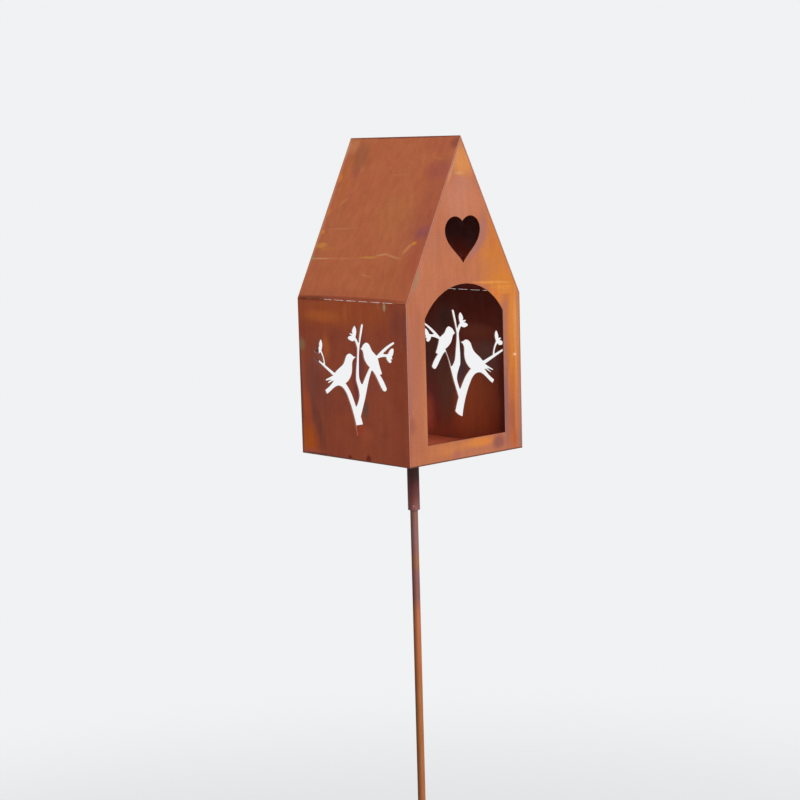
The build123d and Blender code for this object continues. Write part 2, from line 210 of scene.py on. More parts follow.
# Side walls
# Each is the lower part of one folded sheet, laser-cut with two birds on a branch.
# The left one is rust brown with an orange foot at the back, the right one is red inside, with painted shade
# and light.
half_house = 0.09               # middle of the house to its outer faces
cut_steel = "#BD7D6B"           # a laser-cut edge, a little greyer than the sheet's faces, and paler as painted light where light comes through the cut-outs
left_wall_face = {
    "lie": ((-half_house, 0, house_base), (0, -1, 0), (0, 0, 1)),
    "tones": ("#A85133", "#A34B30", "#9B493A"),
    "marks": [
        # the warmer top
        (-15, 168, 78, 18, 0, "#BA592B", 0.75, 0.7),
        (-48, 161, 26, 6, 0, "#CA682D", 0.8, 0.7),
        (-44, 127, 6, 14, 0, "#C9662D", 0.75, 0.7),
        (-10, 166, 3, 10, 0, "#C36933", 0.6, 0.6),
        # the darker field round the birds
        (-26, 138, 14, 10, 0, "#9C4833", 0.5, 0.7),
        (9, 99, 6, 30, -4, "#77333A", 0.9, 0.7),
        (17, 122, 4, 22, 0, "#824340", 0.7, 0.7),
        (32, 92, 16, 16, 0, "#99493A", 0.5, 0.7),
        (80, 158, 14, 16, 0, "#904637", 0.8, 0.6),
        (78, 84, 14, 70, 0, "#9F492E", 0.7, 0.6),
        (87, 150, 4.5, 17, 0, "#904B3A", 0.8, 0.6),
        (-14, 76, 9, 4, -20, "#8A4C33", 0.7, 0.6),
        (21, 59, 4, 9, -12, "#775243", 0.9, 0.7),
        (-56, 108, 10, 10, 0, "#AB6655", 0.7, 0.7),
        # the purple band and the orange foot beside it
        (-66, 86, 12, 32, 0, "#8C493C", 0.8, 0.7),
        (-61, 38, 6.5, 30, 20, "#864633", 0.85, 0.6),
        (-86, 96, 6, 34, 0, "#AE5437", 0.85, 0.6),
        (-47, 72, 12, 27, 8, "#8F4838", 0.65, 0.7),
        (-18, 60, 12, 9, 0, "#9B4B37", 0.6, 0.7),
        (-93, -7, 30, 49, -4, "#C3591B", 0.9, 0.25),
        (-80, 10, 13, 16, 0, "#CB5E1B", 0.7, 0.7),
        (-74, 2, 20, 5, 0, "#BB5B40", 0.8, 0.7),
        (-80, 56, 7, 18, 10, "#C15529", 0.8, 0.6),
        (-89.6, 60, 2.8, 75, 0, "#6C433A", 0.9, 0.5),
        (-86, 127, 6, 6, 0, "#A37752", 0.9, 0.7),
        # small marks
        (24, 31, 11, 8, 0, "#B95B3A", 0.6, 0.7),
        (55.5, 175.5, 1.9, 4.2, 0, "#BEB088", 0.85, 0.6),
        (45, 176.5, 1.2, 4, 20, "#B39563", 0.25, 0.6),
        (-8, 2, 3.4, 3.2, 0, "#6F1914", 0.85, 0.6),
        (23, 3, 4, 5, 0, "#6F1914", 0.85, 0.6),
        (0, 0.4, 90, 1.4, 0, "#7A3D29", 0.6, 0.4),
        (-60, 0.8, 32, 1.8, 0, "#61403A", 0.85, 0.5),
        (-68, 179.2, 28, 1.4, 0, "#934022", 0.8, 0.5),
    ],
    "inner_tones": ("#7E362A", "#6F3027", "#602D27"),
}
right_wall_face = {
    "lie": ((half_house, 0, house_base), (0, 1, 0), (0, 0, 1)),
    "tones": ("#A85133", "#B05533", "#9B493A"),
    "marks": [
        (20, 166, 70, 17, 0, "#C3612D", 0.8, 0.7),
        (52, 150, 16, 9, 10, "#CE6C2D", 0.8, 0.6),
        (-62, 120, 16, 30, -8, "#90463A", 0.7, 0.6),
        (30, 60, 24, 18, 0, "#9B4837", 0.6, 0.7),
        (-92, 10, 30, 44, 0, "#C66930", 0.9, 0.15),
        (86, 60, 7, 50, 0, "#BE5B40", 0.8, 0.5),
        (-20, 28, 12, 7, 0, "#BE5E3A", 0.7, 0.6),
        (8, 2, 3.4, 3.4, 0, "#661419", 0.9, 0.5),
        (-23, 3, 4, 5.5, 0, "#661419", 0.9, 0.5),
        (0, 0.8, 90, 1.6, 0, "#7A3D29", 0.6, 0.4),
    ],
    # Inside, shade and light are painted on: nearly black shade under the eave, at the back and in the front
    # gable's shadow by the doorway, and red pools of light low in the middle and low at the back.
    "inner_tones": ("#963E2E", "#8B3A2E", "#83363A"),
    "inner_marks": [
        (-12, 50, 44, 50, 0, "#CF6D42", 0.9, 0.7),
        (60, 100, 22, 46, 0, "#784C3E", 0.85, 0.6),
        (58, 44, 22, 36, 0, "#934A42", 0.85, 0.6),
        (50, 8, 26, 12, 0, "#AD553C", 0.8, 0.7),
        (65, 28, 12, 21, 0, "#DE6D52", 0.9, 0.7),
        (30, 68, 15, 42, 0, "#835544", 0.9, 0.5),
        (4, 90, 12, 22, 0, "#785959", 0.95, 0.4),
        (-36, 104, 22, 18, 0, "#8F6559", 0.85, 0.6),
        (0, 190, 110, 46, 0, "#782E1D", 0.9, 0.6),
        (32, 142, 13, 18, 0, "#61463A", 0.75, 0.7),
        (-20, 132, 28, 8, 0, "#A9593E", 0.85, 0.7),
        (-64, 80, 8, 100, 0, "#783A2E", 0.8, 0.5),
    ],
}
dress("left_wall", rusted("rusted_left_wall", [left_wall_face], cut_steel))
dress("right_wall", rusted("rusted_right_wall", [right_wall_face], cut_steel))


# Roof slopes
# The upper part of the same two folded sheets, lighter and more orange than the walls.
# Thin pale scratches and yellow spots cross the left one, and its front edge is purple.
eave_height = 0.18              # underside of the floor to the eave
ridge_height = 0.36             # and to the ridge
eave_z = house_base + eave_height
ridge_z = house_base + ridge_height
pitch = atan2(ridge_z - eave_z, half_house)
left_roof_face = {
    "lie": ((-half_house, 0, eave_z), (0, -1, 0), (cos(pitch), 0, sin(pitch))),
    "tones": ("#BD6A43", "#BA6540", "#B46245"),
    "marks": [
        # broad tones
        (26, 104, 28, 26, 0, "#BD7142", 0.6, 0.8),
        (78, 92, 18, 26, 0, "#A95642", 0.85, 0.6),
        (76, 122, 15, 30, 0, "#AE5C3F", 0.8, 0.7),
        (56, 84, 16, 22, 0, "#B46342", 0.6, 0.7),
        (76, 160, 18, 12, 0, "#A75545", 0.85, 0.7),
        (64, 192, 30, 10, 0, "#B25E40", 0.8, 0.7),
        (80, 42, 12, 26, 0, "#AD543B", 0.8, 0.6),
        (52, 30, 34, 20, 0, "#B4613D", 0.75, 0.7),
        (0, 6, 95, 7, 0, "#B45F3D", 0.6, 0.6),
        # the back edge: tan corner, dark oval, orange column
        (-62, 178, 14, 16, 0, "#A65F3E", 0.85, 0.6),
        (-62, 157, 8, 6, 0, "#A65848", 0.6, 0.7),
        (-80, 190, 8, 9, 0, "#CD8456", 0.65, 0.7),
        (-89, 184, 2.6, 16, 0, "#CD9979", 0.6, 0.6),
        (-89, 120, 2.6, 80, 0, "#C48766", 0.7, 0.6),
        (-75, 148, 7, 32, 4, "#C16B39", 0.6, 0.7),
        (-62, 108, 9, 9, 0, "#B26640", 0.5, 0.7),
        (-85, 150, 3.5, 5, 0, "#D8803E", 0.8, 0.6),
        (-85, 108, 3, 4, 0, "#D67B39", 0.7, 0.6),
        (-84, 82, 3.4, 2.4, 0, "#DA823B", 0.8, 0.6),
        (-88, 50, 4, 3.5, 0, "#A48251", 0.9, 0.6),
        (-80, 66, 9, 3, 5, "#D18743", 0.9, 0.6),
        (-66, 62, 12, 2.6, 5, "#C17239", 0.7, 0.6),
        # scratches
        (-65, 121, 7, 1.7, 33, "#CA8256", 0.55, 0.7),
        (-56, 87, 24, 0.9, 3, "#C87B56", 0.6, 0.6),
        (-72, 49.5, 16, 1.0, 2, "#CF9269", 0.8, 0.5),
        (-40, 50.5, 28, 0.9, 1, "#C87B4F", 0.6, 0.5),
        (8, 53, 13, 1.2, 2, "#CD893E", 0.9, 0.6),
        (28, 57, 9, 1.2, 8, "#CF8F66", 0.75, 0.7),
        (46, 55, 11, 1.2, -10, "#CD8964", 0.75, 0.7),
        (64, 65, 7.5, 1.9, 52, "#CF8751", 0.85, 0.6),
        (72.5, 71.5, 3.2, 2.0, 20, "#D38D2E", 0.9, 0.6),
        (12, 31, 9, 1.2, -8, "#CA7D58", 0.6, 0.6),
        (15, 154, 16, 0.9, 0, "#BF7440", 0.6, 0.6),
        (68, 174, 10, 1.2, -10, "#C17248", 0.6, 0.6),
        (13, 134, 2.4, 2.6, 0, "#C4724D", 0.5, 0.7),
        (-51, 161, 4, 4, 0, "#BF724D", 0.7, 0.7),
        # the purple spot, the front edge and the ridge
        (80, 85, 10, 6.5, 15, "#995154", 0.8, 0.7),
        (86, 193, 7, 6, 0, "#994F3B", 0.9, 0.6),
        (0, 201, 95, 1.6, 0, "#793E34", 0.9, 0.4),
        (0, 2.5, 95, 2.4, 0, "#92432C", 0.8, 0.5),
        (-68, 1.4, 28, 2.0, 0, "#793B23", 0.8, 0.5),
    ],
    "inner_tones": ("#5A251A", "#522117", "#49211A"),
}
right_roof_face = {
    "lie": ((half_house, 0, eave_z), (0, 1, 0), (-cos(pitch), 0, sin(pitch))),
    "tones": ("#BD6A43", "#B8643E", "#B25F45"),
    "marks": [
        (-20, 120, 34, 30, 0, "#BF7440", 0.7, 0.8),
        (-74, 90, 18, 36, 0, "#A95648", 0.75, 0.6),
        (58, 60, 20, 22, 0, "#AD5B43", 0.7, 0.7),
        (70, 170, 14, 16, 0, "#C67B3E", 0.8, 0.6),
        (-78, 186, 10, 12, 0, "#D18456", 0.8, 0.6),
        (30, 72, 26, 1.0, -4, "#D6A07B", 0.8, 0.5),
        (-12, 40, 12, 1.2, 12, "#D1973E", 0.9, 0.5),
        (62, 118, 8, 1.4, 40, "#D69256", 0.8, 0.5),
        (-40, 158, 14, 0.9, 0, "#CA825B", 0.7, 0.5),
        (0, 201, 95, 1.6, 0, "#793E34", 0.9, 0.4),
        (0, 2.5, 95, 2.4, 0, "#92432C", 0.8, 0.5),
    ],
    "inner_tones": ("#60241A", "#58201A", "#501E16"),
    "inner_marks": [(-24, 34, 30, 28, 0, "#A0341A", 0.95, 0.75)],
}
dress("left_roof_slope", rusted("rusted_left_roof", [left_roof_face], cut_steel))
dress("right_roof_slope", rusted("rusted_right_roof", [right_roof_face], cut_steel))


# Eave folds
# The bend between each wall and its roof slope, weakened by a row of nine slots so that it
# folds by hand. Below the bend it has the wall's rust, and above it the roof's.
fold_leg = 0.006                # flat strip of sheet on each side of the bend


def marks_at(face, height):
    """The same face with only the marks that reach the fold, which lies at a height on it in mm."""
    kept = []
    for mark in face["marks"]:
        _, y, half_long, half_wide, turn, _, _, softness = mark
        rise = hypot(half_long * sin(radians(turn)), half_wide * cos(radians(turn)))
        if abs(y - height) < (1 + softness) * rise + 1000 * fold_leg:
            kept.append(mark)
    return {**face, "marks": kept}


for side_name, wall_face, roof_face in (("left", left_wall_face, left_roof_face),
                                        ("right", right_wall_face, right_roof_face)):
    # A material with every mark of both faces would be too large to draw, and would turn black.
    bend_faces = [marks_at(wall_face, 1000 * eave_height), marks_at(roof_face, 0)]
    bend_finish = rusted("rusted_" + side_name + "_fold", bend_faces, cut_steel, split_z=eave_z)
    dress(side_name + "_eave_fold", bend_finish)


# Rust scale in the slots
# The slots are narrow enough to hold rain, and a crust of rust has grown on their lower edges.
# It is uneven, so the light through them is broken, and thinner than the cuts themselves.
sheet = 0.0015                  # the thickness of all the house's sheets
shaded_cut = "#4E2A20"            # a cut edge, painted dark as the shade inside slots and openings
slot_count = 9
slot_pitch = 0.020
slot_length = 0.017
slot_height = 0.00075
scale_height = 0.00031          # how far the crust stands up into a slot
scale_width = 0.78 * sheet      # narrower than the sheet, so that no grain stands out past it


def finish_mesh(piece, name, finish):
    """Names a piece, closes its mesh, puts its place in its mesh and gives it a finish."""
    bpy.ops.object.mode_set(mode="EDIT")
    bpy.ops.mesh.select_all(action="SELECT")
    bpy.ops.mesh.remove_doubles(threshold=0.00001)
    bpy.ops.mesh.normals_make_consistent(inside=False)
    bpy.ops.object.mode_set(mode="OBJECT")
    bpy.ops.object.transform_apply(location=True, rotation=True, scale=True)
    bpy.ops.object.shade_smooth_by_angle(angle=radians(35))
    piece.name = name
    piece.data.name = name
    piece.data.materials.clear()
    piece.data.materials.append(finish)


# The crust's cut faces take the dark edge tone, painted shade inside the slot.
crust_finish = rusted("rust_scale", [left_wall_face], shaded_cut)
for side_name, side in (("left", -1), ("right", 1)):
    crusts = []
    for i in range(slot_count):
        along = slot_pitch * (i - (slot_count - 1) / 2)
        place = (side * (half_house - sheet / 2), along, eave_z - slot_height / 2)
        bpy.ops.object.select_all(action="DESELECT")
        bpy.ops.mesh.primitive_grid_add(x_subdivisions=2, y_subdivisions=14, size=1.0, location=place)
        crust = bpy.context.object
        bpy.ops.object.mode_set(mode="EDIT")
        bpy.ops.mesh.select_all(action="SELECT")
        bpy.ops.transform.resize(value=(scale_width, slot_length, 1.0))
        bpy.ops.mesh.extrude_region_move(TRANSFORM_OT_translate={"value": (0, 0, scale_height)})
        bpy.ops.transform.vertex_random(offset=0.5 * scale_height, normal=1.0, seed=i + 20 * (side + 1))
        bpy.ops.object.mode_set(mode="OBJECT")
        crusts.append(crust)
    bpy.ops.object.select_all(action="DESELECT")
    for crust in crusts:
        crust.select_set(True)
    bpy.context.view_layer.objects.active = crusts[0]
    bpy.ops.object.join()
    finish_mesh(crusts[0], side_name + "_slot_scale", crust_finish)
    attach(crusts[0], "root")


# Gables
# Two flat sheets with an arched doorway and a heart, welded inside the folded sheets.
# The front one is the brightest face: salmon on the left, orange on the right.
front_gable_face = {
    "lie": ((0, -half_house, house_base), (1, 0, 0), (0, 0, 1)),
    "tones": ("#C47755", "#C07250", "#BE7157"),
    "marks": [
        # orange right half, from the arch to the slope and the apex
        (66, 218, 40, 36, 0, "#D17C37", 0.95, 0.45),
        (70, 204, 28, 14, 0, "#D98337", 0.8, 0.7),
        (56, 244, 34, 9, 116.6, "#D17B3C", 0.85, 0.6),
        (2, 333, 16, 17, 0, "#D98E50", 0.9, 0.6),
        (-4, 319, 6, 1.8, 0, "#DD9D64", 0.8, 0.7),
        (0, 352, 5, 6, 0, "#CD8157", 0.8, 0.6),
        # above the heart and round it
        (-5, 292, 22, 20, 0, "#C68064", 0.8, 0.7),
        (20, 284, 16, 14, -30, "#CB7E5B", 0.8, 0.7),
        (0, 308, 11, 7, 0, "#C07D68", 0.6, 0.7),
        (32, 257, 5, 17, -6, "#B47564", 0.9, 0.6),
        (22, 237, 5, 19, -43, "#B07162", 0.9, 0.7),
        (-46, 240, 14, 16, 0, "#BA7357", 0.6, 0.7),
        (0, 212, 60, 10, 0, "#C4764D", 0.5, 0.7),
        # the left slope's edge
        (-46.5, 268, 98, 2.4, 63.4, "#C08C75", 0.7, 0.6),
        (-14, 326, 20, 3, 63.4, "#CF8C66", 0.8, 0.6),
        (-75, 207, 6, 13, -22, "#A98164", 0.85, 0.6),
        # streaks right of the arch
        (54, 182, 13, 10, -40, "#DD813A", 0.8, 0.6),
        (50, 194.3, 30, 1.7, -3.75, "#E6944A", 0.9, 0.6),
        (58, 191.9, 24, 0.8, -3.75, "#D17D33", 0.8, 0.5),
        (66, 188, 17, 3.2, -3.75, "#E38E41", 0.9, 0.6),
        (70, 182.5, 13, 2.2, -3.75, "#E18C3C", 0.85, 0.6),
        (72, 178, 12, 0.9, -3.75, "#D17933", 0.7, 0.5),
        # right frame
        (79, 116, 10, 74, 0, "#D77D33", 0.95, 0.4),
        (77, 150, 6, 32, 0, "#DE883E", 0.8, 0.6),
        (75, 42, 7, 30, 0, "#B66241", 0.9, 0.6),
        (75, 74, 4, 18, 0, "#C86C37", 0.8, 0.6),
        (81, 50, 2.6, 42, 0, "#D57F4A", 0.85, 0.6),
        (65, 62, 3.6, 54, 0, "#A1685F", 0.95, 0.5),
        (65, 128, 3.4, 40, 0, "#B4745D", 0.9, 0.6),
        (82, 136, 2.4, 46, 0, "#E19457", 0.9, 0.6),
        (88, 140, 2.6, 46, 0, "#D38A55", 0.9, 0.6),
        (87.5, 56, 3, 50, 0, "#B87964", 0.9, 0.5),
        (80, 110, 2.6, 1.4, 0, "#F8C496", 0.95, 0.5),
        # left frame
        (-86.5, 100, 4, 66, 0, "#B26F5D", 0.85, 0.5),
        (-76, 122, 7, 50, 0, "#B76F55", 0.8, 0.7),
        (-85, 46, 5, 9, 0, "#A76252", 0.7, 0.6),
        (-63.5, 70, 2.2, 52, 0, "#C67F55", 0.8, 0.6),
        # sill
        (-34, 13, 26, 7, 0, "#D3814C", 0.85, 0.6),
        (-58, 10, 16, 10, 0, "#C6754E", 0.7, 0.6),
        (20, 15.5, 26, 5, 0, "#E18841", 0.9, 0.6),
        (-18, 6, 6, 3.4, 0, "#BC6C5F", 0.7, 0.6),
        (51, 12, 9, 7.5, 0, "#9B5B52", 0.9, 0.6),
        (76, 13, 6, 10, 0, "#C2663C", 0.9, 0.6),
        (88, 12, 3.4, 10, 0, "#9D796E", 0.95, 0.6),
    ],
    "inner_tones": ("#722D21", "#63271A", "#5A2721"),
}
back_gable_face = {
    "lie": ((0, half_house, house_base), (-1, 0, 0), (0, 0, 1)),
    "tones": ("#C26E4E", "#BC6A4A", "#B66650"),
    "marks": [
        (-60, 220, 40, 40, 0, "#D17D37", 0.9, 0.45),
        (-44, 266, 86, 9, 63.4, "#CF7B3A", 0.8, 0.5),
        (6, 326, 14, 16, 0, "#D58441", 0.85, 0.5),
        (30, 250, 6, 18, 0, "#B47566", 0.8, 0.6),
        (76, 100, 8, 80, 0, "#D17B3C", 0.85, 0.4),
        (-76, 60, 6, 60, 0, "#B46A57", 0.8, 0.5),
        (30, 12, 26, 6, 0, "#D5843C", 0.9, 0.5),
        (-46, 12, 11, 8, 0, "#A35D57", 0.9, 0.5),
        (-60, 198, 24, 1.8, -2, "#E6964E", 0.85, 0.5),
    ],
    # Its inner side is dark too, apart from the sill and a pale patch high on the left jamb,
    # where light from the front is painted on.
    "inner_tones": ("#964E3E", "#87463A", "#804638"),
    "inner_marks": [
        (0, 8, 70, 15, 0, "#C56343", 0.95, 0.2),
        (67, 116, 9, 26, 0, "#F0B49C", 0.95, 0.3),
    ],
}
# Its cut edges round the doorway and the heart are painted dark as shade.
dress("front_gable", rusted("rusted_front_gable", [front_gable_face], shaded_cut))
dress("back_gable", rusted("rusted_back_gable", [back_gable_face], "#8A5A48"))


# Tack welds
# Short fillets of weld inside, where the walls, the floor, the gables and the roof meet.
# Each was laid in a few dabs by hand, so it is a lump with ripples, and it rusted darker.
fillet_leg = 0.0026             # how far a tack may reach along each sheet
tack_leg = 0.98 * fillet_leg    # a bead stays a little inside that
tack_length = 0.009
tack_dip = 0.88                 # between two dabs, against the dabs
weld_patch_size = 3.846         # patches of rust on a bead, mm
speck_size = 1.111              # brighter specks on it, mm


def weld_metal(name, base, other, glint, shine):
    """Rusted weld bead: rough, patched with a second tone, with a few brighter specks and some shine."""
    finish = bpy.data.materials.new(name)
    finish.use_nodes = True
    tree = finish.node_tree
    shader = tree.nodes["Principled BSDF"]
    place = add(tree, "TexCoord").outputs["Object"]
    patches = add(tree, "TexNoise", {"Vector": place, "Scale": 1000 / weld_patch_size, "Detail": 4.0,
                                     "Roughness": 0.65})
    patched = add(tree, "Mix", {"Factor": patches.outputs[0], 6: linear(base), 7: linear(other)},
                  data_type="RGBA")
    specks = add(tree, "TexNoise", {"Vector": place, "Scale": 1000 / speck_size, "Detail": 2.0})
    bright = add(tree, "MapRange", {"Value": specks.outputs[0], "From Min": 0.56, "From Max": 0.68,
                                    "To Max": 0.7})
    colour = add(tree, "Mix", {"Factor": bright.outputs[0], 6: patched.outputs[2], 7: linear(glint)},
                 data_type="RGBA")
    tree.links.new(colour.outputs[2], shader.inputs["Base Color"])
    shader.inputs["Roughness"].default_value = 0.55
    shader.inputs["Specular IOR Level"].default_value = shine
    bump = add(tree, "Bump", {"Height": specks.outputs[0], "Strength": 0.4, "Distance": 0.0001})
    tree.links.new(bump.outputs[0], shader.inputs["Normal"])
    return finish


def select_where(piece, kind, test):
    """Selects the vertices or faces of the piece in edit mode that pass a test."""
    bpy.ops.mesh.select_mode(type=kind)
    bpy.ops.mesh.select_all(action="DESELECT")
    bpy.ops.object.mode_set(mode="OBJECT")
    for item in piece.data.vertices if kind == "VERT" else piece.data.polygons:
        item.select = test(item)
    bpy.ops.object.mode_set(mode="EDIT")


bead_metal = weld_metal("rusted_weld_bead", "#6A382C", "#8A4A36", "#B0643A", 0.08)

# One bead is a quarter of a long lump with its corner at the origin, and is copied to every seat.
bpy.ops.object.select_all(action="DESELECT")
bpy.ops.mesh.primitive_uv_sphere_add(segments=24, ring_count=18, radius=1.0)
dab = bpy.context.object
bpy.ops.object.mode_set(mode="EDIT")
bpy.ops.mesh.select_all(action="SELECT")
bpy.ops.transform.resize(value=(tack_leg, tack_leg, tack_length / 2))
# Every third ring of it is drawn in, as the dip between two dabs.
levels = sorted({round(v.co.z, 6) for v in dab.data.vertices})
for level in levels[2:-2:3]:
    select_where(dab, "VERT", lambda v: abs(v.co.z - level) < 1e-5)
    bpy.ops.transform.resize(value=(tack_dip, tack_dip, 1.0), center_override=(0, 0, level))
bpy.ops.mesh.select_all(action="SELECT")
bpy.ops.mesh.bisect(plane_co=(0, 0, 0), plane_no=(1, 0, 0), clear_inner=True, use_fill=True)
bpy.ops.mesh.select_all(action="SELECT")
bpy.ops.mesh.bisect(plane_co=(0, 0, 0), plane_no=(0, 1, 0), clear_inner=True, use_fill=True)
bpy.ops.object.mode_set(mode="OBJECT")


def lay_tacks(name, seats):
    """Copies the bead to every seat of a node: its corner, the way it runs and the way it faces."""
    copies = []
    for corner, along, inward in seats:
        copy = dab.copy()
        copy.data = dab.data.copy()
        bpy.context.scene.collection.objects.link(copy)
        side = Vector(along).cross(Vector(inward))
        turned = Matrix((inward, side, along)).transposed().to_4x4()
        copy.data.transform(Matrix.Translation(Vector(corner)) @ turned)
        copies.append(copy)
    bpy.ops.object.select_all(action="DESELECT")
    for copy in copies:
        copy.select_set(True)
    bpy.context.view_layer.objects.active = copies[0]
    if len(copies) > 1:
        bpy.ops.object.join()
    finish_mesh(copies[0], name + "_bead", bead_metal)
    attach(copies[0], "root")
    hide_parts(name)


wall_inside = half_house - sheet
floor_top = house_base + sheet
slope_length = hypot(half_house, ridge_z - eave_z)
tack_places = (-0.008, 0.023)   # along each wall's foot, from its middle
tack_spread = 0.3               # along a gable's edges, as a share of each edge from its middle
lay_tacks("left_floor_tacks", [((-wall_inside, -p, floor_top), (0, -1, 0), (1, 0, 0)) for p in tack_places])
lay_tacks("right_floor_tacks", [((wall_inside, p, floor_top), (0, 1, 0), (-1, 0, 0)) for p in tack_places])
for end, y, inward in (("front", -wall_inside, 1), ("back", wall_inside, -1)):
    seats = []
    for side in (-1, 1):
        for share in (-tack_spread, tack_spread):
            height = floor_top + (eave_z - floor_top) * (0.5 + share)
            seats.append(((side * wall_inside, y, height), (0, 0, side * -inward), (-side, 0, 0)))
    lay_tacks(end + "_wall_tacks", seats)
    seats = []
    for share in (-tack_spread, tack_spread):
        seats.append(((2 * half_house * share, y, floor_top), (inward, 0, 0), (0, inward, 0)))
    lay_tacks(end + "_sill_tacks", seats)
    seats = []
    for side in (-1, 1):
        for share in (-tack_spread, tack_spread):
            run = slope_length / 2 + (slope_length - 2 * fold_leg) * share
            x = -half_house + run * cos(pitch) + sheet * sin(pitch)
            z = eave_z + run * sin(pitch) - sheet * cos(pitch)
            along = Vector((-side * cos(pitch), 0, sin(pitch))) * inward * side
            seats.append(((-side * x, y, z), tuple(along), (0, inward, 0)))
    lay_tacks(end + "_roof_tacks", seats)
bpy.data.objects.remove(dab)


# Ridge weld
# One long bead along the inside of the ridge, where the two roof slopes meet.
# Its ripples are about 4 mm apart, as a hand-held torch leaves them.
inner_peak = ridge_z - sheet / cos(pitch)
bead_radius = 0.0021
bead_drop = 0.0028              # its middle below the corner that the slopes make inside
bead_end = wall_inside - 0.0002     # it stops just short of the gables
half_ripple = 0.002             # from a dip to the crest after it
ripple_swell = 1.12             # a crest against the dip before it
bpy.ops.object.select_all(action="DESELECT")
bpy.ops.mesh.primitive_circle_add(vertices=20, radius=bead_radius, fill_type="NGON",
                                  location=(0, -bead_end, inner_peak - bead_drop), rotation=(pi / 2, 0, 0))
bead = bpy.context.object
bpy.ops.object.transform_apply(location=True, rotation=True, scale=True)
bpy.ops.object.mode_set(mode="EDIT")
bpy.ops.mesh.select_all(action="SELECT")
step_count = round(2 * bead_end / half_ripple)
for i in range(step_count):
    bpy.ops.mesh.extrude_region_move(TRANSFORM_OT_translate={"value": (0, 2 * bead_end / step_count, 0)})
    swell = ripple_swell if i % 2 == 0 else 1 / ripple_swell
    bpy.ops.transform.resize(value=(swell, 1, swell))
for side in (-1, 1):
    bpy.ops.mesh.select_all(action="SELECT")
    bpy.ops.mesh.bisect(plane_co=(0, 0, inner_peak), plane_no=(side * sin(pitch), 0, cos(pitch)),
                        clear_outer=True, use_fill=True)
finish_mesh(bead, "ridge_bead", bead_metal)
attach(bead, "root")
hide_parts("ridge_weld")


# Socket tube
# A length of 14 by 2 mm steel tube welded under the floor to take the stake.
# It is the darkest piece, purple brown and paler towards its open end; its near-black top is the floor's
# shadow, painted on.
socket_bands = [
    (0.830, "#A96F6D"),
    (0.842, "#9F615A"),
    (0.856, "#8D5251"),
    # these two top bands are the floor's shadow on the tube, painted on
    (0.870, "#5F403D"),
    (0.900, "#3D2723"),
]
lit_side = (0.73, -0.68, 0)     # the side of the bar and the tube that the light falls on; the other side gets painted shade
blotch_size = 20                # mottling of the rust round them, mm
line_spacing = 4.545            # lines along them, mm: finer on the real ones, too fine to show


def rusted_bar(name, bands, shade_factor):
    """Rusted round steel: bands of colour by height, and painted shade on the side away from the light.

    Drawing through a die left fine lines along it, and the rust still shows them.
    """
    finish = bpy.data.materials.new(name)
    finish.use_nodes = True
    tree = finish.node_tree
    shader = tree.nodes["Principled BSDF"]
    where = add(tree, "TexCoord")
    place = where.outputs["Object"]
    # The mottling shifts the bands up and down by up to 12 mm, so that none runs level round the bar.
    mottle = add(tree, "TexNoise", {"Vector": place, "Scale": 1000 / blotch_size, "Detail": 3.0}).outputs[0]
    shift = add(tree, "MapRange", {"Value": mottle, "To Min": -0.012, "To Max": 0.012}).outputs[0]
    height = add(tree, "SeparateXYZ", {0: place}).outputs["Z"]
    height = add(tree, "Math", {0: height, 1: shift}).outputs[0]
    low = bands[0][0]
    high = bands[-1][0]
    rise = add(tree, "MapRange", {"Value": height, "From Min": low, "From Max": high})
    ramp = add(tree, "ValToRGB", {"Fac": rise.outputs[0]})
    stops = ramp.color_ramp.elements
    stops[0].color = linear(bands[0][1])
    stops[1].color = linear(bands[-1][1])
    for level, tone in bands[1:-1]:
        stops.new((level - low) / (high - low)).color = linear(tone)
    # Painted shade: the side of the bar away from the light is darkened.
    facing = add(tree, "VectorMath", {0: where.outputs["Normal"], 1: lit_side}, operation="DOT_PRODUCT")
    lit_share = add(tree, "MapRange", {"Value": facing.outputs["Value"], "From Min": -0.95, "From Max": 0.25,
                                 "To Min": shade_factor}).outputs[0]
    colour = add(tree, "VectorMath", {0: ramp.outputs[0], 1: lit_share}, operation="MULTIPLY").outputs[0]
    drawn = add(tree, "Mapping", {"Vector": place, "Scale": (1, 1, 0.12)}).outputs[0]
    lines = add(tree, "TexNoise", {"Vector": drawn, "Scale": 1000 / line_spacing, "Detail": 4.0,
                                   "Roughness": 0.6}).outputs[0]
    shade = add(tree, "MapRange", {"Value": lines, "From Min": 0.3, "From Max": 0.7, "To Min": 0.86,
                                   "To Max": 1.1})
    colour = add(tree, "VectorMath", {0: colour, 1: shade.outputs[0]}, operation="MULTIPLY").outputs[0]
    tree.links.new(colour, shader.inputs["Base Color"])
    shader.inputs["Roughness"].default_value = 0.6
    shader.inputs["Specular IOR Level"].default_value = 0.12
    bump = add(tree, "Bump", {"Height": lines, "Strength": 0.3, "Distance": 0.0002})
    tree.links.new(bump.outputs[0], shader.inputs["Normal"])
    return finish


dress("socket_tube", rusted_bar("rusted_socket_tube", socket_bands, shade_factor=0.55))


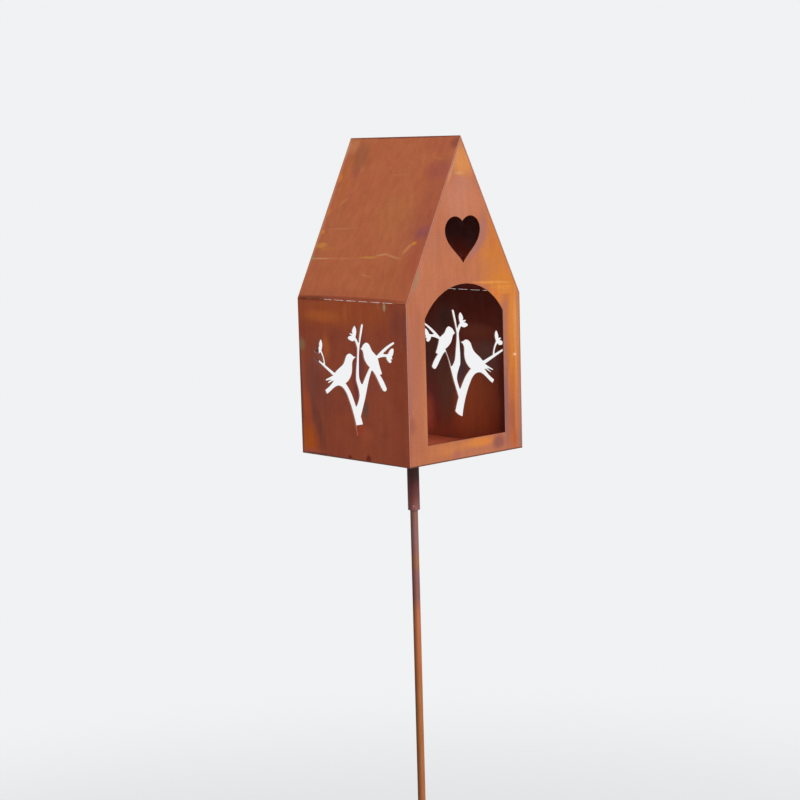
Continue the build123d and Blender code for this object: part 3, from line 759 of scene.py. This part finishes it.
# Socket weld
# The fillet that joins the tube to the floor, laid round it in one pass.
# It has 24 small ripples, as a hand-held torch leaves them, and is as rusted as the tacks.
socket_radius = 0.007
seat_gap = 0.0001               # between round pieces that lie against each other
bead_root = socket_radius + seat_gap
bead_leg = 0.003
tube_margin = 0.0003            # a ripple keeps this clear of the tube
floor_margin = 0.0002           # and this clear of the floor
ring_steps = 96
bpy.ops.object.select_all(action="DESELECT")
bpy.ops.mesh.primitive_circle_add(vertices=24, radius=bead_leg, fill_type="NGON",
                                  location=(bead_root, 0, house_base), rotation=(pi / 2, 0, 0))
ring = bpy.context.object
bpy.ops.object.transform_apply(location=True, rotation=True, scale=True)
bpy.ops.object.mode_set(mode="EDIT")
bpy.ops.mesh.select_all(action="SELECT")
bpy.ops.mesh.bisect(plane_co=(0, 0, house_base), plane_no=(0, 0, 1), clear_outer=True, use_fill=True)
bpy.ops.mesh.select_all(action="SELECT")
bpy.ops.mesh.bisect(plane_co=(bead_root, 0, 0), plane_no=(1, 0, 0), clear_inner=True, use_fill=True)
bpy.ops.mesh.select_all(action="SELECT")
bpy.ops.mesh.delete(type="ONLY_FACE")
bpy.ops.mesh.select_all(action="SELECT")
bpy.ops.mesh.spin(steps=ring_steps, angle=2 * pi, center=(0, 0, house_base), axis=(0, 0, 1))
bpy.ops.mesh.select_all(action="SELECT")
bpy.ops.mesh.remove_doubles(threshold=0.00001)


def on_ripple(v, phase):
    """Whether a vertex is on the bead's open side, and on one of the four steps of each ripple."""
    turn = degrees(Vector((1, 0)).angle_signed(v.co.xy)) % 360
    step = round(turn * ring_steps / 360) % ring_steps
    open_side = v.co.xy.length > bead_root + tube_margin and v.co.z < house_base - floor_margin
    return step % 4 == phase and open_side


for squeeze, phase in ((0.93, 0), (0.97, 1), (0.97, 3)):
    select_where(ring, "VERT", lambda v: on_ripple(v, phase))
    bpy.ops.transform.resize(value=(squeeze, squeeze, 1), center_override=(0, 0, house_base))
finish_mesh(ring, "socket_bead", bead_metal)
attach(ring, "root")
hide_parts("socket_weld")


# Plug weld
# A button of weld in a hole through the tube, near its open end, which holds the stake.
# It stands about 0.6 mm proud, and is paler and shinier than the rust round it.
plug_radius = 0.002
plug_turn = radians(-135)       # it faces the left front corner
plug_drop = 0.065               # its middle under the floor
rod_radius = 0.0045
plug_root = rod_radius + seat_gap
bpy.ops.object.select_all(action="DESELECT")
bpy.ops.mesh.primitive_cylinder_add(vertices=32, radius=plug_radius, depth=socket_radius - plug_root,
                                    location=(0, 0, (plug_root + socket_radius) / 2), end_fill_type="NGON")
plug = bpy.context.object
bpy.ops.object.transform_apply(location=True, rotation=True, scale=True)
bpy.ops.object.mode_set(mode="EDIT")
select_where(plug, "FACE", lambda f: f.normal.z > 0.9)
# Its crown is domed, with a small pit where the torch was lifted off.
for shrink, lift in ((0.93, 0.00028), (0.85, 0.0002), (0.72, 0.0001), (0.5, -0.00006), (0.5, 0.00004)):
    bpy.ops.mesh.extrude_region_move(TRANSFORM_OT_translate={"value": (0, 0, lift)})
    bpy.ops.transform.resize(value=(shrink, shrink, 1))
bpy.ops.object.mode_set(mode="OBJECT")
facing = Vector((cos(plug_turn), sin(plug_turn), 0))
side = Vector((-sin(plug_turn), cos(plug_turn), 0))
turned = Matrix((side, Vector((0, 0, 1)), facing)).transposed().to_4x4()
plug.data.transform(Matrix.Translation((0, 0, house_base - plug_drop)) @ turned)
finish_mesh(plug, "plug_button", weld_metal("rusted_plug_weld", "#B0706A", "#C4847A", "#D8A090", 0.35))
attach(plug, "root")
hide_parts("plug_weld")


# Stake rod
# A 9 mm round bar that carries the house, held in the socket by the plug weld.
# Mauve under the house, it turns orange lower down.
rod_bands = [
    (0.600, "#BF7646"),
    (0.660, "#CF7A4D"),
    (0.712, "#CC7A55"),
    (0.730, "#A16864"),
    (0.752, "#A76B66"),
    (0.768, "#B47656"),
    (0.785, "#A87167"),
    (0.808, "#A97673"),
    (0.822, "#AC796A"),
]
dress("stake_rod", rusted_bar("rusted_stake_rod", rod_bands, shade_factor=0.3))


# Studio
# A pale floor that fades into a white surround, a large soft lamp in front and one overhead.
# The camera sees floor and surround whiter than the light they give, which keeps the rust's depth.
lamp_distance = 3.0
# A lamp is its name, its direction from the house, its width in metres and its power in watts.
lamps = [
    ("front_lamp", (-0.14, -0.80, 0.57), 1.6, 48),
    ("top_lamp", (0.0, -0.2, 0.98), 1.6, 30),
]
aim = Vector((0, 0, 1.05))      # near the middle of the house
bpy.ops.object.select_all(action="DESELECT")
bpy.ops.mesh.primitive_circle_add(vertices=96, radius=4.0, fill_type="NGON", location=(0, 0, 0))
floor = bpy.context.object
floor.name = "studio_floor"
paint = bpy.data.materials.new("pale_studio_floor")
paint.use_nodes = True
tree = paint.node_tree
shader = tree.nodes["Principled BSDF"]
shader.inputs["Base Color"].default_value = linear("#CFD0D1")
shader.inputs["Roughness"].default_value = 0.9
shader.inputs["Specular IOR Level"].default_value = 0.1
shader.inputs["Emission Color"].default_value = linear("#F1F2F3")
rays = add(tree, "LightPath")
lift = add(tree, "MapRange", {"Value": rays.outputs["Is Camera Ray"], "To Max": 0.30})
tree.links.new(lift.outputs[0], shader.inputs["Emission Strength"])
away = add(tree, "VectorMath", {0: add(tree, "TexCoord").outputs["Object"]}, operation="LENGTH")
fade = add(tree, "MapRange", {"Value": away.outputs["Value"], "From Min": 0.8, "From Max": 2.2},
           interpolation_type="SMOOTHSTEP")
clear = add(tree, "BsdfTransparent")
blend = add(tree, "MixShader", {0: fade.outputs[0], 1: shader.outputs[0], 2: clear.outputs[0]})
tree.links.new(blend.outputs[0], tree.nodes["Material Output"].inputs["Surface"])
floor.data.materials.append(paint)

surround = bpy.data.worlds.new("white_surround")
surround.use_nodes = True
bpy.context.scene.world = surround
tree = surround.node_tree
sky = tree.nodes["Background"]
sky.inputs["Color"].default_value = linear("#F1F2F3")
rays = add(tree, "LightPath")
seen = add(tree, "Math", {0: rays.outputs["Is Camera Ray"], 1: rays.outputs["Is Glossy Ray"]},
           operation="MAXIMUM")
seen = add(tree, "Math", {0: seen.outputs[0], 1: rays.outputs["Is Transmission Ray"]}, operation="MAXIMUM")
level = add(tree, "MapRange", {"Value": seen.outputs[0], "To Min": 0.5, "To Max": 1.0})
tree.links.new(level.outputs[0], sky.inputs["Strength"])

for name, direction, size, energy in lamps:
    lamp = bpy.data.lights.new(name, "AREA")
    lamp.shape = "DISK"
    lamp.size = size
    lamp.energy = energy
    light = bpy.data.objects.new(name, lamp)
    bpy.context.scene.collection.objects.link(light)
    light.location = aim + lamp_distance * Vector(direction).normalized()
    light.rotation_euler = (aim - light.location).to_track_quat("-Z", "Y").to_euler()

bpy.context.scene.view_settings.view_transform = "Standard"
